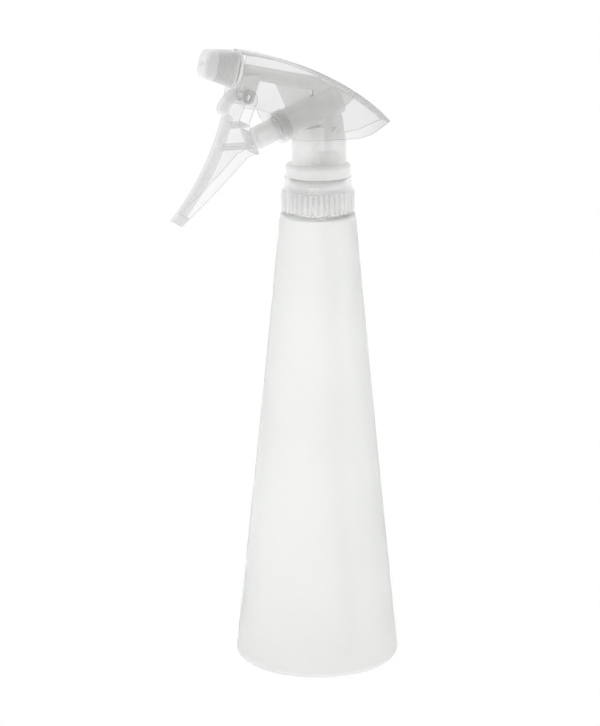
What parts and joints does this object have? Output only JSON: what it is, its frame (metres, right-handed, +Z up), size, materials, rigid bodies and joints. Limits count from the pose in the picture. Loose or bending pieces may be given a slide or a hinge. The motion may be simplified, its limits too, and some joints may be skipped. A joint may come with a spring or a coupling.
{
  "type": "spray bottle",
  "caption": "Tall conical frosted spray bottle with a clear trigger pump, screw cap, dip tube, turning nozzle and curved clear shroud.",
  "frame": {"origin": "centre of the bottle's round base, on the surface that it stands on", "axes": "+Z up along the bottle, -X towards the nozzle, Y across the trigger"},
  "size_m": [0.0989, 0.07, 0.2658],
  "materials": {
    "frosted_bottle": "frosted",
    "clear_cap": "clear moulded",
    "frosted_body": "translucent natural",
    "clear_trigger": "clear",
    "clear_shroud": "clear",
    "nozzle": "translucent",
    "plunger": "translucent",
    "tube": "translucent",
    "seal": "soft white",
    "ball": "polished",
    "spring": "smooth"
  },
  "bodies": {
    "bottle": {"bottle": "frosted_bottle"},
    "head": {"pump_body": "frosted_body", "valve_retainer": "frosted_body", "neck_gasket": "seal", "dip_tube": "tube", "barrel_collar": "clear_cap", "shroud": "clear_shroud", "return_spring": "spring", "swirl_insert": "frosted_body", "outlet_spring": "spring"},
    "cap": {"screw_cap": "clear_cap"},
    "trigger": {"trigger": "clear_trigger"},
    "plunger": {"plunger": "plunger", "plunger_cup_seal": "seal", "plunger_wiper_seal": "seal"},
    "nozzle": {"nozzle": "nozzle", "nozzle_seal": "seal"},
    "inlet_ball": {"inlet_ball": "ball"},
    "outlet_valve": {"outlet_valve": "seal"}
  },
  "joints": [
    {"name": "head_lift", "type": "slide", "parent": "bottle", "child": "head", "axis": [0, 0, 1], "range_m": [0, 0.00476]},
    {"name": "cap_turn", "type": "hinge", "parent": "head", "child": "cap", "pos_m": [0, 0, 0.203], "axis": [0, 0, 1], "range_deg": [0, 540]},
    {"name": "trigger_pull", "type": "hinge", "parent": "head", "child": "trigger", "pos_m": [-0.0328, 0, 0.2457], "axis": [0, -1, 0], "range_deg": [0, 22], "stiffness_Nm_per_rad": 0.5, "springref_deg": -17.19, "deforming": ["return_spring"]},
    {"name": "plunger_stroke", "type": "slide", "parent": "head", "child": "plunger", "axis": [0.9336, 0, 0.3584], "range_m": [0, 0.0078]},
    {"name": "nozzle_turn", "type": "hinge", "parent": "head", "child": "nozzle", "pos_m": [-0.038, 0, 0.2573], "axis": [-0.9744, 0, 0.225], "continuous": true},
    {"name": "inlet_ball_lift", "type": "slide", "parent": "head", "child": "inlet_ball", "axis": [0, 0, 1], "range_m": [0, 0.0012]},
    {"name": "outlet_valve_lift", "type": "slide", "parent": "head", "child": "outlet_valve", "axis": [-0.9744, 0, 0.225], "range_m": [0, 0.0006], "stiffness_N_per_m": 40, "springref_m": -0.001, "deforming": ["outlet_spring"]}
  ],
  "couplings": [
    {"joint": "cap_turn", "follows": "head_lift", "rad_per_m": 1979},
    {"joint": "plunger_stroke", "follows": "trigger_pull", "m_per_rad": 0.0201}
  ]
}
